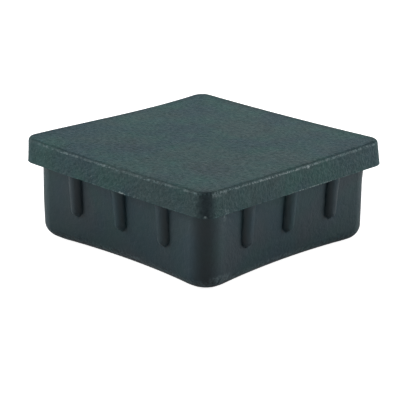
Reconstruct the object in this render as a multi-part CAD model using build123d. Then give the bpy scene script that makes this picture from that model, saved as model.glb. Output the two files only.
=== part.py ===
"""Square tube end cap, moulded in one piece from soft polyethylene.

Frame: millimetres, +Z up. The origin is at the centre of the plane where the
head seats on the tube's end. The head is above it, and the hollow insert, with
three crush ribs on each of its four walls, is below it.
"""
from build123d import *
from math import atan, cos, degrees, radians, sin, tan
import os

# The square tube that the cap closes
tube_size = 50.0             # outside, across the flats
tube_wall = 1.5

# Head: the plate that covers the tube's end, flush with its outside
head_height = 4.9            # from the seat to the top face
head_draft = 2.1             # degrees that the head's sides lean in towards the top
head_brow_height = 0.7       # of the topmost strip of the sides, which leans in more
head_brow_draft = 16.0
head_corner_radius = 3.0     # upright corners, at the lower edge
head_top_rounding = 0.8
head_lower_rounding = 0.15

# Insert: the open box that goes into the tube
insert_clearance = 0.4       # between the tube's bore and the walls, where they are straight
insert_depth = 15.4          # from the seat to the rim
wall_thickness = 3.3
rim_flat = 0.25              # width of the flat left on the rim, inside its rounded lead-in
wall_draw_in_at_seat = 0.4   # how far the middle of each wall pulls inwards, under the head
wall_draw_in_at_rim = 1.45

# Hollow: the space inside the insert, open at the rim
hollow_corner_radius = 0.6
top_thickness = 3.3          # of the head, above the hollow

# Crush ribs: tapered half-round bars under the head, whose lower ends are points
ribs_per_wall = 3
rib_pitch = 11.8
rib_length = 9.15            # from the seat to the tip of the point
rib_bite = 1.0               # how far a crest would reach past the bore from a straight wall
rib_fall = 0.2               # how much less a crest stands out where the point begins
rib_top_radius = 1.55
rib_lower_radius = 1.38      # where the point begins
rib_point_angle = 100.0      # degrees across the point
rib_shoulder_rounding = 1.2  # between the bar and its point
rib_root = 1.0               # how far a rib's upper end is buried in the head

insert_half = tube_size / 2 - tube_wall - insert_clearance
insert_corner_radius = hollow_corner_radius + wall_thickness
rim_rounding = wall_thickness - rim_flat
hollow_half = insert_half - wall_thickness
hollow_height = head_height - top_thickness
hollow_top_rounding = 0.8 * hollow_corner_radius
rib_top_stand_out = insert_clearance + rib_bite
rib_lower_stand_out = rib_top_stand_out - rib_fall
rib_point_length = rib_lower_radius / tan(radians(rib_point_angle / 2))


def draw_in_at(depth):
    """Inward pull of a wall's middle at a depth below the seat."""
    gain = wall_draw_in_at_rim - wall_draw_in_at_seat
    return wall_draw_in_at_seat + gain * depth / insert_depth


def draw_in_beside(offset, depth):
    """Inward pull of a wall at a distance sideways from its middle."""
    share = offset / (insert_half - insert_corner_radius)
    return draw_in_at(depth) * (1 - share**2)


def drawn_square(half, radius, draw_in):
    """Square face with round corners, whose sides curve inwards by draw_in."""
    corner = half - radius
    lean = 2 * atan(draw_in / corner)
    tangent_x = corner - radius * sin(lean)
    tangent_y = corner + radius * cos(lean)
    side = Bezier(
        (-tangent_x, -tangent_y),
        (0, -tangent_y + tangent_x * tan(lean)),
        (tangent_x, -tangent_y),
    )
    turn = CenterArc((corner, -corner), radius, -90 - degrees(lean), 90 + 2 * degrees(lean))
    edges = [edge.rotate(Axis.Z, 90 * quarter) for quarter in range(4) for edge in (side, turn)]
    return Face(Wire(edges))


def drawn_box(half, radius):
    """Box from the seat down to the rim, whose sides draw in more and more on the way."""
    at_seat = drawn_square(half, radius, draw_in_at(0))
    at_rim = Pos(0, 0, -insert_depth) * drawn_square(half, radius, draw_in_at(insert_depth))
    return Part() + Solid.make_loft([at_seat.outer_wire(), at_rim.outer_wire()], ruled=True)


def head():
    """Drafted plate with round corners and softened edges."""
    outline = RectangleRounded(tube_size, tube_size, head_corner_radius)
    plate = extrude(outline, head_height - head_brow_height, taper=head_draft)
    plate += extrude(plate.faces().sort_by(Axis.Z)[-1], head_brow_height, taper=head_brow_draft)
    plate = fillet(plate.edges().group_by(Axis.Z)[-1], head_top_rounding)
    return fillet(plate.edges().group_by(Axis.Z)[0], head_lower_rounding)


def insert_body():
    """Outside of the insert with its rounded lead-in, before it is hollowed."""
    body = drawn_box(insert_half, insert_corner_radius)
    return fillet(body.edges().group_by(Axis.Z)[0], rim_rounding)


def hollow():
    """Space inside: it follows the walls, and reaches up into the head."""
    lower = drawn_box(hollow_half, hollow_corner_radius)
    upper = extrude(drawn_square(hollow_half, hollow_corner_radius, draw_in_at(0)), hollow_height)
    upper = fillet(upper.edges().group_by(Axis.Z)[-1], hollow_top_rounding)
    return lower + upper


def rib(offset):
    """One crush rib on the -Y wall, at a distance sideways from the wall's middle."""
    point_depth = rib_length - rib_point_length
    wall_at_top = insert_half - draw_in_beside(offset, 0)
    wall_at_point = insert_half - draw_in_beside(offset, point_depth)
    top = Vector(offset, -(wall_at_top + rib_top_stand_out - rib_top_radius), 0)
    lower = Vector(offset, -(wall_at_point + rib_lower_stand_out - rib_lower_radius), -point_depth)
    along = lower - top
    taper = (rib_top_radius - rib_lower_radius) / along.length
    bar = Plane(origin=top - along.normalized() * rib_root, z_dir=along) * Cone(
        rib_top_radius + taper * rib_root,
        rib_lower_radius,
        along.length + rib_root,
        align=(Align.CENTER, Align.CENTER, Align.MIN),
    )
    point = Plane(origin=lower, z_dir=along) * Cone(
        rib_lower_radius,
        0,
        rib_point_length,
        align=(Align.CENTER, Align.CENTER, Align.MIN),
    )
    pointed = bar + point
    shoulder = pointed.edges().filter_by(GeomType.CIRCLE).sort_by(Axis.Z)[0]
    return fillet(shoulder, rib_shoulder_rounding)


def ribs():
    """The ribs of all four walls."""
    first = -rib_pitch * (ribs_per_wall - 1) / 2
    one_wall = Part() + [rib(first + rib_pitch * index) for index in range(ribs_per_wall)]
    return Part() + [Rot(0, 0, 90 * quarter) * one_wall for quarter in range(4)]


def end_cap():
    """The whole moulding: one solid."""
    return head() + insert_body() + ribs() - hollow()


os.makedirs("parts", exist_ok=True)
export_step(end_cap(), "parts/end_cap.step")
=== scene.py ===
"""Square tube end cap: one moulding of dark polyethylene, on a pale floor.

The scene shares the CAD model's frame, in metres, with +Z up. The origin is at
the centre of the plane where the head seats on the tube's end. The cap's own
sizes are in millimetres, and MM turns them into metres.
"""
from math import cos, radians, sin

import bmesh
import bpy
from mathutils import Matrix, Vector
from mathutils.noise import noise as lump


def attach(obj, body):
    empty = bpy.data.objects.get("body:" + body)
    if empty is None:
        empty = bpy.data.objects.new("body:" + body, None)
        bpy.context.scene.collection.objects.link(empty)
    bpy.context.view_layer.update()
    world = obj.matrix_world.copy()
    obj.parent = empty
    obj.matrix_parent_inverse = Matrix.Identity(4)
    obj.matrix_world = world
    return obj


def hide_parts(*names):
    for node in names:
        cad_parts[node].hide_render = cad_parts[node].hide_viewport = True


MM = 0.001

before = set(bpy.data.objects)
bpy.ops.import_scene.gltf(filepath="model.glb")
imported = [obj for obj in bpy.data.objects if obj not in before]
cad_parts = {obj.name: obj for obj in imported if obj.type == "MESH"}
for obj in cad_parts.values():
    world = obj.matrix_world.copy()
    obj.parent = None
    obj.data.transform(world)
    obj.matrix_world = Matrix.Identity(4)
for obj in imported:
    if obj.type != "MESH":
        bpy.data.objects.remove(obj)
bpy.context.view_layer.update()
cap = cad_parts["end_cap"]

# The cap
HALF_WIDTH = 25.0       # of the head
HEAD_HEIGHT = 4.9
RIM_DEPTH = 15.4        # of the insert's rim, below the seat
WALL_START = 0.75       # both faces of the insert's walls lie outside this share of HALF_WIDTH
STRAIGHT_HALF = 19.2    # of a wall's outside, between the insert's round corners
HOLLOW_HALF = 19.8
HOLLOW_HEIGHT = 1.6     # above the seat

# The mesh: cuts all through it, and more at the heights where the head's edges have fine form
MERGE_DISTANCE = 0.002
CUT_PITCH = 1.6
CUTS_EACH_WAY = 15
EDGE_CUTS = (0.1, 0.26, 4.29, 4.38, 4.47, 4.62, 4.75)
CUT_TOLERANCE = 1e-8    # in metres
SHARP_ANGLE = radians(30)

# The brow: the topmost strip of the head's sides, which leans in unevenly
BROW_LOW = 4.22
BROW_HIGH = 4.58
BROW_SPREAD = 0.07

# The crease: a fine band between the brow and the top, painted darker as shade and given less gloss,
# which draws a dark line there
CREASE_LOW = 4.64
CREASE_HIGH = 4.76

# Flash: a thin uneven lip that the mould's parting line left round the head's lower edge
FLASH_HEIGHT = 0.26
FLASH_WIDTH = 0.03
FLASH_SPREAD = 0.16
FLASH_PER_MM = 0.45

# Which way each side faces, and each corner, which is named as the camera sees it
SIDES = {"-Y": (0, -1), "+X": (1, 0), "+Y": (0, 1), "-X": (-1, 0)}
CORNERS = {"front": (1, -1), "right": (1, 1), "back": (-1, 1), "left": (-1, -1)}

# How the head has shrunk out of shape. A side's middle sags, and skew is how much more it
# sags towards one end. The seat sags less than the top. The right corner stands out at the
# seat by the flare, and draws in as much at the top.
TOP_SAG = {"-Y": 0.34, "+X": 0.15, "+Y": 0.14, "-X": 0.27}
TOP_SKEW = {"-Y": 0.0, "+X": -0.15, "+Y": 0.0, "-X": 0.42}
SEAT_SAG_SHARE = 0.4
SAG_FADE = 4.0          # depth below the seat where the head's sag and lift have faded out
CORNER_LIFT = {"front": -0.05, "right": 0.22, "back": 0.34, "left": 0.2}
SEAT_LIFT = {"front": -0.08, "right": 0.05, "back": 0.0, "left": 0.12}
CORNER_TIGHTNESS = 3    # the higher, the closer to a corner its lift and flare stay
RIGHT_CORNER_FLARE = 0.2

# How the insert has shrunk out of shape. Each wall draws in a little all the way down, and
# two draw in more towards the rim. Relief is how much less a wall does so towards one end,
# where it may even stand out.
WALL_DRAW_IN = 0.12
WALL_DRAW_IN_DEPTH = 1.0    # below the seat, where a wall has drawn in fully
WALL_DRAW_IN_EVENNESS = 8   # the higher, the closer to its ends a wall stays drawn in
RIM_DRAW_IN = {"-Y": 0.4, "+X": 0.15, "+Y": 0.0, "-X": 0.0}
RIM_RELIEF = {"-Y": 0.4, "+X": 0.6, "+Y": 0.0, "-X": 0.0}
RIM_CORNER_LIFT = {"front": 0.34, "right": 0.12, "back": 0.12, "left": 0.3}
RIM_CORNER_SPAN = (0.66, 0.82)      # shares of HALF_WIDTH
LEFT_CORNER_SWELL = 0.17
LEFT_CORNER_SPAN = (0.77, 0.92)     # shares of HALF_WIDTH
SWELL_START_DEPTHS = (0.0, 0.8)
SWELL_END_DEPTHS = (7.0, 13.0)

# Spots on the surface are given by centre, reach along x, y and z, and how strongly they show
SPOT_CORE = 0.3         # share of its reach over which a spot shows in full

# Pale scuffs and scratches, and pale painted light: highlights painted along the flash, on the right
# brow and on the rim by the front corner, and light painted along the rim
SCUFFS_AND_PAINTED_LIGHT = {
    # highlights painted along the flash at the head's lower edge
    "flash_right_highlight": ((25.0, 5.0, 0.04), (1.5, 10.0, 0.26), 1.0),
    "flash_left_highlight": ((2.9, -25.0, 0.12), (1.5, 1.5, 0.34), 1.8),
    # a pale nick
    "nick": ((24.8, 2.2, 4.16), (1.2, 0.45, 0.42), 2.5),
    # highlights painted on the right brow, partly over worn plastic
    "brow_rub_highlight": ((24.8, -7.0, 4.32), (1.2, 15.0, 0.24), 0.8),
    "corner_brow_rub_highlight": ((24.7, -21.8, 4.2), (1.0, 2.6, 0.7), 0.55),
    # pale scuffs and streaks
    "nib": ((24.0, -24.2, 0.32), (0.45, 0.45, 0.25), 1.5),
    "head_streaks": ((25.0, -19.9, 0.6), (1.0, 0.8, 1.0), 0.4),
    "wall_streaks": ((22.9, -18.3, -1.2), (1.0, 0.7, 1.3), 0.35),
    # a highlight painted on the rim by the front corner, and light painted along the rim
    "rim_corner_highlight": ((22.3, -18.6, -13.0), (1.5, 3.4, 1.1), 0.5),
    "rim_right_light": ((21.5, -6.0, -13.9), (3.0, 22.0, 1.1), 0.22),
    "rim_left_light": ((2.0, -21.5, -13.9), (26.0, 3.0, 1.1), 0.16),
}

# Shade painted browner and darker on the head: down its front corner, and over the front and the
# left of its top
HEAD_PAINTED_SHADE = {
    "front_corner": ((23.9, -23.9, 2.4), (1.9, 1.9, 9.0), 1.0),
    "top_front": ((16.0, -14.0, 4.9), (7.0, 5.0, 2.0), 0.6),
    "top_left": ((-9.0, -13.0, 4.9), (9.0, 6.0, 2.0), 0.5),
}

# Shade painted darker on the insert, down its front corner
INSERT_PAINTED_SHADE = {
    "front_corner": ((22.0, -22.0, -7.7), (2.6, 2.6, 30.0), 0.28),
}

# Stretches of the brow that are neither worn nor given a painted highlight
BROW_WITHOUT_WEAR_OR_HIGHLIGHT = {
    "left_corner": ((-24.0, -24.8, 4.4), (7.0, 2.0, 1.0), 0.9),
}

# Strips of the top along its far edges that the mould left less glossy, and on which shade is
# painted darker
FAR_EDGE_SHADE_STRIPS = {
    "far_left": ((-24.6, 0.0, 4.9), (2.8, 70.0, 0.6), 0.9),
    "far_right": ((0.0, 24.6, 4.9), (70.0, 3.2, 0.6), 1.0),
}

# Where one finish gives way to the next: heights, and distances past the hollow's faces
SEAT_CHANGE = (0.01, 0.05)
LOWER_EDGE_WEAR_AND_HIGHLIGHT = 0.15  # height up to which the head's lower edge is fully worn and given a painted highlight
TOP_CHANGE = (4.78, 4.88)
HOLLOW_CHANGE = (0.5, 1.0)
RIM_CHANGE = (-14.2, -12.6)
# heights over which shade is painted on the insert, darker towards the rim
INSERT_SHADE_HEIGHTS = (-13.0, -1.0)

# Noises: how many lumps to the millimetre, and the part of the noise's span that each look uses
NOISE_SPAN = (0.3, 0.7)
TOP_GRAIN_PER_MM = 1.7
SIDE_GRAIN_PER_MM = 1.7
GLINTS_PER_MM = 1.6
SPECKS_PER_MM = 2.2
SATIN_PER_MM = 1.1
MOTTLE_PER_MM = 0.6
STRETCHES_PER_MM = 0.3
TINT_PER_MM = 0.13
TINT_SPAN = (0.38, 0.62)
CLOUDS_PER_MM = 0.12
PATCHES_PER_MM = 0.1
PATCH_SPAN = (0.48, 0.68)
WEAR_AND_HIGHLIGHT_SPECKS = (0.45, 0.65)
WEAR_AND_HIGHLIGHT_STRETCHES = (0.35, 0.6)
WEAR_AND_HIGHLIGHT_LEAST = 0.25       # share of the worn look and painted highlight that the least worn stretches have
WEAR_ROUGH_SPECKS = (0.4, 0.6)
SCUFF_AND_LIGHT_SPECKS = (0.42, 0.62)
RIM_SPECKS = (0.35, 0.65)

# Colours
HEAD_BLUE = (0.0195, 0.0570, 0.0700, 1)
HEAD_GREEN = (0.0185, 0.0680, 0.0655, 1)
HEAD_BROWN = (0.0260, 0.0590, 0.0625, 1)
# colour of the shade painted on the head
HEAD_PAINTED_SHADE_COLOUR = (0.0260, 0.0480, 0.0570, 1)
# pale edges: worn, with a highlight painted along the brow and the lower edge
WORN_AND_HIGHLIGHT_COLOUR = (0.0750, 0.1550, 0.1650, 1)
# pale colour of the scuffs, and of the highlights and light painted among them
SCUFF_AND_PAINTED_LIGHT_COLOUR = (0.2400, 0.3100, 0.3200, 1)
INSERT_BLUE = (0.0140, 0.0405, 0.0545, 1)
INSERT_GREEN = (0.0140, 0.0460, 0.0515, 1)
INSERT_BROWN = (0.0225, 0.0410, 0.0520, 1)

# Tones that multiply the colour of a zone: light painted on the top, and shade painted on the crease
# and along the top's far edges
TOP_PAINTED_LIGHT_TONE = 1.43
CREASE_PAINTED_SHADE_TONE = 0.87
FAR_EDGE_SHADE_TONE = 0.8

# How far the noises, and the shade painted down the insert, take the tone either side of 1
GRAIN_TONE_SPREAD = 0.25
CLOUD_TONE_SPREAD = 0.12
MOTTLE_TONE_SPREAD = 0.1
SPECK_TONE_SPREAD = 0.15
RIM_TONE_SPREAD = 0.6
INSERT_SHADE_SPREAD = 0.1

# Roughness
HEAD_ROUGHNESS = 0.62
HEAD_ROUGHNESS_SPREAD = 0.08
INSERT_ROUGHNESS = 0.4
INSERT_ROUGHNESS_SPREAD = 0.06
WORN_SMOOTH = 0.44
WORN_ROUGH = 0.76

# Gloss, and how much of it the crease and the far edge strips lose
HEAD_GLOSS = 0.34
INSERT_GLOSS = 0.5
GLINT_GLOSS_SPREAD = 0.18
SIDE_GLINT_SHARE = 0.5  # of the top's glints, in gloss and in tone
CREASE_GLOSS_LOSS = 0.07
FAR_EDGE_GLOSS_LOSS = 0.08

# Relief of the surface: depths in millimetres that the whole span of a noise would have
GRAIN_DEPTH = 0.8
SIDE_GRAIN_SHARE = 0.25
EDGE_GRAIN_SHARE = 0.2
SATIN_DEPTH = 0.09
RIM_GRAIN = 3.5         # times as deep as the satin

# Floor
FLOOR_SIZE = 4          # in metres
FLOOR_COLOUR = (0.74, 0.74, 0.74, 1)
FLOOR_GLOW = 0.9
WHITE = (1, 1, 1, 1)

# Camera
CAMERA_AZIMUTH = radians(44.12)
CAMERA_ELEVATION = radians(18.21)
CAMERA_ROLL = radians(0.70)
CAMERA_DISTANCE = 323.8 * MM
CAMERA_AIM_HEIGHT = -7.77 * MM
CAMERA_AIM_RIGHT = -0.60 * MM
CAMERA_NEAREST = 10 * MM
CAMERA_LENS = 148.52
SENSOR_WIDTH = 36.0


def smooth_step(low, high, value):
    """0 up to the low value and 1 from the high one, with a soft rise between."""
    share = min(max((value - low) / (high - low), 0.0), 1.0)
    return share * share * (3 - 2 * share)


def side_share(side, u, v):
    """1 in the middle of a side's edge, falling to 0 at its ends and at the centre.

    Here and below, u and v are x and y as shares of the half width.
    """
    out_x, out_y = SIDES[side]
    out = max(u * out_x + v * out_y, 0.0)
    along = u * out_y - v * out_x
    return out * out * (1 - along * along)


def corner_share(corner, u, v):
    """1 at a corner, falling to 0 at the centre and the other corners."""
    to_x, to_y = CORNERS[corner]
    return (max(1 + u * to_x, 0.0) * max(1 + v * to_y, 0.0) / 4) ** CORNER_TIGHTNESS


def tight_share(corner, u, v, span):
    """1 at a corner of the insert, and 0 where its walls are straight."""
    to_x, to_y = CORNERS[corner]
    return smooth_step(*span, u * to_x) * smooth_step(*span, v * to_y)


def edge_shift(x, y, z):
    """How far the head's side stands out with its flash, or leans in at its brow."""
    if z < 0:
        return 0.0
    rough = lump(Vector((x, y, 0.0)) * FLASH_PER_MM)
    flash = max(FLASH_WIDTH + FLASH_SPREAD * rough, 0.0) * max(1 - z / FLASH_HEIGHT, 0.0)
    return flash - BROW_SPREAD * rough * smooth_step(BROW_LOW, BROW_HIGH, z)


def shrunk(place):
    """Where the warped moulding has a point of the true one; both in millimetres."""
    x, y, z = place
    depth = -z
    u, v = x / HALF_WIDTH, y / HALF_WIDTH
    top_share = min(max(z / HEAD_HEIGHT, 0.0), 1.0)
    rim_share = min(max(depth / RIM_DEPTH, 0.0), 1.0)
    head_share = smooth_step(-SAG_FADE, 0.0, z)

    sag = 0.0
    for side, (out_x, out_y) in SIDES.items():
        along = u * out_y - v * out_x
        share = side_share(side, u, v)
        sag_here = (TOP_SAG[side] + TOP_SKEW[side] * along) * share
        sag += sag_here * (SEAT_SAG_SHARE + (1 - SEAT_SAG_SHARE) * top_share)
        relief = RIM_RELIEF[side] * ((1 + along) / 2) ** 2
        pull = (RIM_DRAW_IN[side] - relief) * share * rim_share
        if depth > 0 and u * out_x + v * out_y > WALL_START:
            offset = min(abs(along) * HALF_WIDTH / STRAIGHT_HALF, 1.0)
            under_head = smooth_step(0.0, WALL_DRAW_IN_DEPTH, depth)
            pull += WALL_DRAW_IN * (1 - offset ** WALL_DRAW_IN_EVENNESS) * under_head
        x -= pull * out_x
        y -= pull * out_y

    top_lift = seat_lift = rim_lift = 0.0
    for corner in CORNERS:
        share = corner_share(corner, u, v)
        top_lift += CORNER_LIFT[corner] * share
        seat_lift += SEAT_LIFT[corner] * share
        rim_lift += RIM_CORNER_LIFT[corner] * tight_share(corner, u, v, RIM_CORNER_SPAN)
    z += head_share * (top_lift * top_share + seat_lift * (1 - top_share) - sag)
    z += rim_lift * rim_share ** 2

    flare = corner_share("right", u, v) * head_share * (1 - 2 * top_share)
    swell = smooth_step(*SWELL_START_DEPTHS, depth) * (1 - smooth_step(*SWELL_END_DEPTHS, depth))
    swell *= tight_share("left", u, v, LEFT_CORNER_SPAN)
    outwards = edge_shift(*place) + RIGHT_CORNER_FLARE * flare + LEFT_CORNER_SWELL * swell
    scale = 1 + outwards / HALF_WIDTH
    return Vector((x * scale, y * scale, z))


def cut_finely(mesh):
    """Cuts the CAD node's large faces small enough to take the warp."""
    upright = Vector((0, 0, 1))
    cuts = [(upright, height) for height in EDGE_CUTS]
    for axis in (Vector((1, 0, 0)), Vector((0, 1, 0)), upright):
        cuts += [(axis, step * CUT_PITCH) for step in range(-CUTS_EACH_WAY, CUTS_EACH_WAY + 1)]
    for axis, distance in cuts:
        bmesh.ops.bisect_plane(
            mesh,
            geom=mesh.verts[:] + mesh.edges[:] + mesh.faces[:],
            dist=CUT_TOLERANCE,
            plane_co=axis * distance * MM,
            plane_no=axis,
        )


def moulding():
    """The cap as it left the mould and cooled: a finely cut, warped copy of the CAD node."""
    mesh = bmesh.new()
    mesh.from_mesh(cap.data)
    bmesh.ops.remove_doubles(mesh, verts=mesh.verts, dist=MERGE_DISTANCE * MM)
    cut_finely(mesh)
    true_place = mesh.verts.layers.float_vector.new("true_place")
    for vertex in mesh.verts:
        vertex[true_place] = vertex.co / MM
        vertex.co = shrunk(vertex.co / MM) * MM
    for edge in mesh.edges:
        edge.smooth = edge.calc_face_angle(0.0) < SHARP_ANGLE
    for face in mesh.faces:
        face.smooth = True
    data = bpy.data.meshes.new("end_cap_moulding")
    mesh.to_mesh(data)
    mesh.free()
    data.materials.append(polyethylene())
    piece = bpy.data.objects.new("end_cap_moulding", data)
    bpy.context.collection.objects.link(piece)
    weighted = piece.modifiers.new("weighted", "WEIGHTED_NORMAL")
    weighted.keep_sharp = True
    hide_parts("end_cap")
    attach(piece, "root")


def add_node(tree, kind, inputs=None, **settings):
    """Adds a shader node; each input is a value, or the output of another node."""
    node = tree.nodes.new("ShaderNode" + kind)
    for name, value in settings.items():
        setattr(node, name, value)
    for name, value in (inputs or {}).items():
        if isinstance(value, bpy.types.NodeSocket):
            tree.links.new(value, node.inputs[name])
        else:
            node.inputs[name].default_value = value
    return node


def combine(tree, operation, first, second=0.0, clamp=False):
    """Two values added, multiplied and so on, as an output."""
    inputs = {0: first, 1: second}
    return add_node(tree, "Math", inputs, operation=operation, use_clamp=clamp).outputs[0]


def ramp(tree, value, low, high, to_low=0.0, to_high=1.0):
    """A value carried from one range to another, and held inside it."""
    inputs = {"Value": value, "From Min": low, "From Max": high, "To Min": to_low, "To Max": to_high}
    return add_node(tree, "MapRange", inputs).outputs["Result"]


def noise(tree, place, per_mm, detail=2.0, roughness=0.5):
    """Cloudy noise around 0.5, with its coarsest lumps per_mm to the millimetre."""
    inputs = {"Vector": place, "Scale": per_mm, "Detail": detail, "Roughness": roughness}
    return add_node(tree, "TexNoise", inputs).outputs["Fac"]


def mix_colours(tree, share, low, high):
    """Colour between two others, which are the Mix node's sockets 6 and 7."""
    inputs = {"Factor": share, 6: low, 7: high}
    return add_node(tree, "Mix", inputs, data_type="RGBA").outputs[2]


def mix_values(tree, share, low, high):
    """Value between two others, which are the Mix node's sockets 2 and 3."""
    return add_node(tree, "Mix", {"Factor": share, 2: low, 3: high}).outputs[0]


def scaled(tree, colour, factor):
    """Colour times a value."""
    return add_node(tree, "VectorMath", {0: colour, "Scale": factor}, operation="SCALE").outputs[0]


def band(tree, height, low, high, soft=0.1):
    """1 between two heights in millimetres, fading to 0 outside them."""
    above_low = ramp(tree, height, low - soft, low + soft / 2)
    below_high = ramp(tree, height, high - soft / 2, high + soft, 1.0, 0.0)
    return combine(tree, "MULTIPLY", above_low, below_high)


def near_spots(tree, place, spots):
    """How strongly the named spots cover a place."""
    total = 0.0
    for centre, reach, strength in spots.values():
        away = add_node(tree, "VectorMath", {0: place, 1: centre}, operation="SUBTRACT").outputs[0]
        away = add_node(tree, "VectorMath", {0: away, 1: reach}, operation="DIVIDE").outputs[0]
        distance = add_node(tree, "VectorMath", {0: away}, operation="LENGTH").outputs["Value"]
        total = combine(tree, "ADD", total, ramp(tree, distance, 1.0, SPOT_CORE, 0.0, strength))
    return total


def outside_hollow(tree, place, height):
    """0 on the walls and the ceiling of the hollow, and 1 on the rest of the head."""
    nearest, furthest = HOLLOW_CHANGE
    across = add_node(tree, "VectorMath", {0: place}, operation="ABSOLUTE").outputs[0]
    across = add_node(tree, "SeparateXYZ", {0: across})
    off_axis = combine(tree, "MAXIMUM", across.outputs["X"], across.outputs["Y"])
    beside = ramp(tree, off_axis, HOLLOW_HALF + nearest, HOLLOW_HALF + furthest)
    above = ramp(tree, height, HOLLOW_HEIGHT + nearest, HOLLOW_HEIGHT + furthest)
    return combine(tree, "MAXIMUM", beside, above)


def moulding_zones(tree, place):
    """Masks for parts of the surface, each 1 on its part and 0 off it, and the true height."""
    height = add_node(tree, "SeparateXYZ", {0: place}).outputs["Z"]
    head = ramp(tree, height, *SEAT_CHANGE)
    head = combine(tree, "MULTIPLY", head, outside_hollow(tree, place, height))
    brow = band(tree, height, BROW_LOW, BROW_HIGH)
    brow = combine(tree, "SUBTRACT", brow, near_spots(tree, place, BROW_WITHOUT_WEAR_OR_HIGHLIGHT), clamp=True)
    lower_edge = ramp(tree, height, LOWER_EDGE_WEAR_AND_HIGHLIGHT, FLASH_HEIGHT, 1.0, 0.0)
    lower_edge = combine(tree, "MULTIPLY", head, lower_edge)
    # painted shade, with less gloss, along the top's far edges
    far_edge_shade_strips = near_spots(tree, place, FAR_EDGE_SHADE_STRIPS)
    return {
        "height": height,
        "head": head,
        "top": ramp(tree, height, *TOP_CHANGE),
        "edges": combine(tree, "ADD", brow, lower_edge, clamp=True),
        # band where shade is painted, as a fine dark line
        "crease": band(tree, height, CREASE_LOW, CREASE_HIGH),
        "far_edge_shade": combine(tree, "ADD", far_edge_shade_strips, 0.0, clamp=True),
        "rim": ramp(tree, height, *RIM_CHANGE, 1.0, 0.0),
    }


def moulding_noises(tree, place):
    """The noises that more than one of the looks share."""
    return {
        "side_grain": noise(tree, place, SIDE_GRAIN_PER_MM, detail=2.0, roughness=0.6),
        "tint": noise(tree, place, TINT_PER_MM, detail=1.0),
        "patches": noise(tree, place, PATCHES_PER_MM, detail=1.0),
        "glints": noise(tree, place, GLINTS_PER_MM, detail=2.0, roughness=0.7),
        "specks": noise(tree, place, SPECKS_PER_MM, detail=2.0, roughness=0.7),
    }


def tinted(tree, noises, blue, green, brown):
    """Base colour that drifts between three near hues."""
    colour = mix_colours(tree, ramp(tree, noises["tint"], *TINT_SPAN), blue, green)
    return mix_colours(tree, ramp(tree, noises["patches"], *PATCH_SPAN), colour, brown)


def glinting(tree, zones, noises, spread):
    """Grain that lightens and darkens its surface by a spread, less on the head's sides."""
    glints = ramp(tree, noises["glints"], *NOISE_SPAN, -spread, spread)
    share = mix_values(tree, zones["top"], SIDE_GLINT_SHARE, 1.0)
    return combine(tree, "MULTIPLY", glints, share)


def edge_wear_and_highlight(tree, place, zones, noises):
    """Pale specks along the head's edges, thicker in some stretches than in others: partly worn
    plastic, partly a painted highlight on the brow and the lower edge.
    """
    stretches = noise(tree, place, STRETCHES_PER_MM, detail=3.0, roughness=0.7)
    stretches = ramp(tree, stretches, *WEAR_AND_HIGHLIGHT_STRETCHES, WEAR_AND_HIGHLIGHT_LEAST, 1.0)
    wear_and_highlight = combine(tree, "MULTIPLY", zones["edges"], stretches)
    return combine(tree, "MULTIPLY", wear_and_highlight, ramp(tree, noises["specks"], *WEAR_AND_HIGHLIGHT_SPECKS))


def head_colour(tree, place, zones, noises):
    """Mottled green-grey, painted lighter on the top as light, with browner shade painted on it, and
    pale worn edges that also carry a painted highlight.
    """
    clouds = noise(tree, place, CLOUDS_PER_MM, detail=3.0, roughness=0.55)
    mottle = noise(tree, place, MOTTLE_PER_MM, detail=2.0)
    tone = combine(tree, "ADD", glinting(tree, zones, noises, GRAIN_TONE_SPREAD), 1.0)
    for factor in (
        ramp(tree, clouds, *NOISE_SPAN, 1 - CLOUD_TONE_SPREAD, 1 + CLOUD_TONE_SPREAD),
        ramp(tree, mottle, *NOISE_SPAN, 1 - MOTTLE_TONE_SPREAD, 1 + MOTTLE_TONE_SPREAD),
        # Painted light on the top, and painted shade on the crease and along the top's far edges
        mix_values(tree, zones["top"], 1.0, TOP_PAINTED_LIGHT_TONE),
        mix_values(tree, zones["crease"], 1.0, CREASE_PAINTED_SHADE_TONE),
        mix_values(tree, zones["far_edge_shade"], 1.0, FAR_EDGE_SHADE_TONE),
    ):
        tone = combine(tree, "MULTIPLY", tone, factor)
    colour = tinted(tree, noises, HEAD_BLUE, HEAD_GREEN, HEAD_BROWN)
    # painted shade, browner and darker, on the front corner and the top's front
    colour = mix_colours(tree, near_spots(tree, place, HEAD_PAINTED_SHADE), colour, HEAD_PAINTED_SHADE_COLOUR)
    colour = scaled(tree, colour, tone)
    # pale edges: worn, and a painted highlight
    return mix_colours(tree, edge_wear_and_highlight(tree, place, zones, noises), colour, WORN_AND_HIGHLIGHT_COLOUR)


def insert_colour(tree, place, zones, noises):
    """Darker green-grey, speckled at the rim, with shade painted on it: slightly darker towards the
    rim, and down the front corner.
    """
    specks = noises["specks"]
    tone = mix_values(tree, specks, 1 - SPECK_TONE_SPREAD, 1 + SPECK_TONE_SPREAD)
    rim_specks = ramp(tree, specks, *RIM_SPECKS, -RIM_TONE_SPREAD, RIM_TONE_SPREAD)
    tone = combine(tree, "ADD", tone, combine(tree, "MULTIPLY", zones["rim"], rim_specks))
    # painted shade: darker towards the rim, lighter towards the seat
    painted_shade = ramp(
        tree,
        zones["height"],
        *INSERT_SHADE_HEIGHTS,
        -INSERT_SHADE_SPREAD,
        INSERT_SHADE_SPREAD,
    )
    tone = combine(tree, "ADD", tone, painted_shade)
    # painted shade down the insert's front corner
    tone = combine(tree, "SUBTRACT", tone, near_spots(tree, place, INSERT_PAINTED_SHADE))
    return scaled(tree, tinted(tree, noises, INSERT_BLUE, INSERT_GREEN, INSERT_BROWN), tone)


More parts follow.
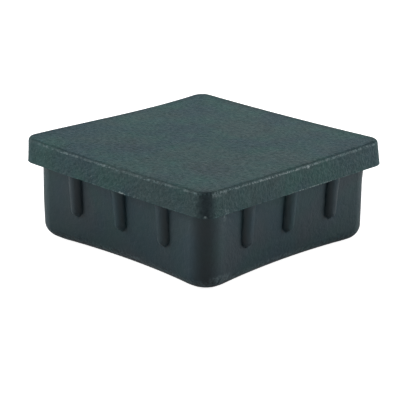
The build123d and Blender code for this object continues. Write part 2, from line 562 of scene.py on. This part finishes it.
def scuffed_and_painted_light(tree, place, noises, colour):
    """A colour with the pale scuffs, and the painted highlights and light, over it."""
    broken = ramp(tree, noises["specks"], *SCUFF_AND_LIGHT_SPECKS)
    # pale scuffs, with painted highlights and painted light
    scuffs_and_light = combine(tree, "MULTIPLY", near_spots(tree, place, SCUFFS_AND_PAINTED_LIGHT), broken, clamp=True)
    return mix_colours(tree, scuffs_and_light, colour, SCUFF_AND_PAINTED_LIGHT_COLOUR)


def moulding_roughness(tree, zones, noises, grain):
    """Matt on the head, smoother on the insert, and broken along the worn edges."""
    specks = noises["specks"]
    head = ramp(
        tree,
        grain,
        *NOISE_SPAN,
        HEAD_ROUGHNESS - HEAD_ROUGHNESS_SPREAD,
        HEAD_ROUGHNESS + HEAD_ROUGHNESS_SPREAD,
    )
    worn = ramp(tree, specks, *WEAR_ROUGH_SPECKS, WORN_ROUGH, WORN_SMOOTH)
    head = mix_values(tree, zones["edges"], head, worn)
    insert = ramp(
        tree,
        specks,
        *NOISE_SPAN,
        INSERT_ROUGHNESS - INSERT_ROUGHNESS_SPREAD,
        INSERT_ROUGHNESS + INSERT_ROUGHNESS_SPREAD,
    )
    return mix_values(tree, zones["head"], insert, head)


def moulding_gloss(tree, zones, noises):
    """Strength of the surface's reflection, which glints on the head's grain."""
    glints = glinting(tree, zones, noises, GLINT_GLOSS_SPREAD)
    gloss = combine(tree, "MULTIPLY", glints, zones["head"])
    gloss = combine(tree, "ADD", gloss, mix_values(tree, zones["head"], INSERT_GLOSS, HEAD_GLOSS))
    for zone, loss in (("crease", CREASE_GLOSS_LOSS), ("far_edge_shade", FAR_EDGE_GLOSS_LOSS)):
        gloss = combine(tree, "SUBTRACT", gloss, combine(tree, "MULTIPLY", zones[zone], loss))
    return gloss


def moulding_relief(tree, place, zones, noises, grain):
    """Normal with satin on the insert, coarser at its rim, and grain on the head."""
    satin = noise(tree, place, SATIN_PER_MM, detail=3.0, roughness=0.6)
    rim_grain = combine(tree, "MULTIPLY", noises["side_grain"], RIM_GRAIN)
    rim_grain = combine(tree, "MULTIPLY", zones["rim"], rim_grain)
    insert = add_node(tree, "Bump", {
        "Distance": SATIN_DEPTH * MM,
        "Height": combine(tree, "ADD", satin, rim_grain),
    })
    grain_share = mix_values(tree, zones["top"], SIDE_GRAIN_SHARE, 1.0)
    grain_share = mix_values(tree, zones["edges"], grain_share, EDGE_GRAIN_SHARE)
    head = add_node(tree, "Bump", {
        "Strength": combine(tree, "MULTIPLY", zones["head"], grain_share),
        "Distance": GRAIN_DEPTH * MM,
        "Height": grain,
        "Normal": insert.outputs["Normal"],
    })
    return head.outputs["Normal"]


def polyethylene():
    """Dark green-grey polyethylene: spark-eroded grain on the head, satin on the insert."""
    material = bpy.data.materials.new("polyethylene")
    material.use_nodes = True
    tree = material.node_tree
    place = add_node(tree, "Attribute", attribute_name="true_place").outputs["Vector"]
    zones = moulding_zones(tree, place)
    noises = moulding_noises(tree, place)
    top_grain = noise(tree, place, TOP_GRAIN_PER_MM, detail=3.0, roughness=0.65)
    grain = mix_values(tree, zones["top"], noises["side_grain"], top_grain)
    colour = mix_colours(
        tree,
        zones["head"],
        insert_colour(tree, place, zones, noises),
        head_colour(tree, place, zones, noises),
    )
    looks = {
        "Base Color": scuffed_and_painted_light(tree, place, noises, colour),
        "Roughness": moulding_roughness(tree, zones, noises, grain),
        "Specular IOR Level": moulding_gloss(tree, zones, noises),
        "Normal": moulding_relief(tree, place, zones, noises, grain),
    }
    shader = tree.nodes["Principled BSDF"]
    for name, look in looks.items():
        tree.links.new(look, shader.inputs[name])
    return material


def add_camera():
    """Camera at the corner between the -Y and +X walls, a little above them."""
    right = Vector((cos(CAMERA_AZIMUTH), sin(CAMERA_AZIMUTH), 0))
    back = Vector((
        cos(CAMERA_ELEVATION) * sin(CAMERA_AZIMUTH),
        -cos(CAMERA_ELEVATION) * cos(CAMERA_AZIMUTH),
        sin(CAMERA_ELEVATION),
    ))
    up = back.cross(right)
    aim = right * CAMERA_AIM_RIGHT + Vector((0, 0, CAMERA_AIM_HEIGHT))
    rolled_right = right * cos(CAMERA_ROLL) + up * sin(CAMERA_ROLL)
    rolled_up = up * cos(CAMERA_ROLL) - right * sin(CAMERA_ROLL)
    place = Matrix((rolled_right, rolled_up, back)).transposed().to_4x4()
    place.translation = aim + back * CAMERA_DISTANCE
    data = bpy.data.cameras.new("camera")
    data.sensor_width = SENSOR_WIDTH
    data.lens = CAMERA_LENS
    data.clip_start = CAMERA_NEAREST
    camera = bpy.data.objects.new("camera", data)
    camera.matrix_world = place
    bpy.context.collection.objects.link(camera)
    bpy.context.scene.camera = camera


def add_lamp(name, azimuth, elevation, power, width=0.6, distance=0.95):
    """Square soft box aimed at the cap. Azimuth 0 is on the camera's side, and 90 to its right.

    The angles are in degrees, the power in watts, and the width and distance in metres.
    """
    across = Vector((cos(CAMERA_AZIMUTH), sin(CAMERA_AZIMUTH), 0))
    near = Vector((sin(CAMERA_AZIMUTH), -cos(CAMERA_AZIMUTH), 0))
    turn, tilt = radians(azimuth), radians(elevation)
    towards_lamp = (near * cos(turn) + across * sin(turn)) * cos(tilt) + Vector((0, 0, sin(tilt)))
    data = bpy.data.lights.new(name, "AREA")
    data.size = width
    data.energy = power
    lamp = bpy.data.objects.new(name, data)
    lamp.location = towards_lamp * distance
    lamp.rotation_euler = (-towards_lamp).to_track_quat("-Z", "Y").to_euler()
    lamp.visible_camera = False
    bpy.context.collection.objects.link(lamp)


def seen_by_camera(tree, strength):
    """The strength where the camera looks straight at a surface, and 0 for every other ray."""
    camera_ray = add_node(tree, "LightPath").outputs["Is Camera Ray"]
    return ramp(tree, camera_ray, 0.0, 1.0, 0.0, strength)


def add_world():
    """World that is white to the camera, and gives no light."""
    world = bpy.data.worlds.new("world")
    world.use_nodes = True
    bpy.context.scene.world = world
    tree = world.node_tree
    background = tree.nodes["Background"]
    background.inputs["Color"].default_value = WHITE
    tree.links.new(seen_by_camera(tree, 1.0), background.inputs["Strength"])


def add_floor():
    """Pale matt floor under the rim, which glows for the camera alone."""
    bpy.ops.mesh.primitive_plane_add(size=FLOOR_SIZE, location=(0, 0, -RIM_DEPTH * MM))
    floor = bpy.context.object
    paint = bpy.data.materials.new("floor")
    paint.use_nodes = True
    tree = paint.node_tree
    shader = tree.nodes["Principled BSDF"]
    shader.inputs["Base Color"].default_value = FLOOR_COLOUR
    shader.inputs["Roughness"].default_value = 1
    shader.inputs["Specular IOR Level"].default_value = 0
    shader.inputs["Emission Color"].default_value = WHITE
    tree.links.new(seen_by_camera(tree, FLOOR_GLOW), shader.inputs["Emission Strength"])
    floor.data.materials.append(paint)


moulding()

add_camera()
add_lamp("right", azimuth=90, elevation=8, power=5.4)
add_lamp("right_back", azimuth=120, elevation=8, power=0.65)
add_lamp("right_high", azimuth=90, elevation=32, power=2.15)
add_lamp("left", azimuth=-90, elevation=8, power=3.35)
add_lamp("left_back", azimuth=-120, elevation=8, power=2.2)
add_lamp("left_high", azimuth=-90, elevation=32, power=3.7)
add_lamp("back", azimuth=150, elevation=8, power=1.35)
add_lamp("back_low", azimuth=180, elevation=8, power=0.12, width=0.25, distance=0.4)
add_lamp("back_high", azimuth=180, elevation=58, power=0.53, width=0.25, distance=0.4)
add_world()
add_floor()
bpy.context.scene.view_settings.view_transform = "Standard"
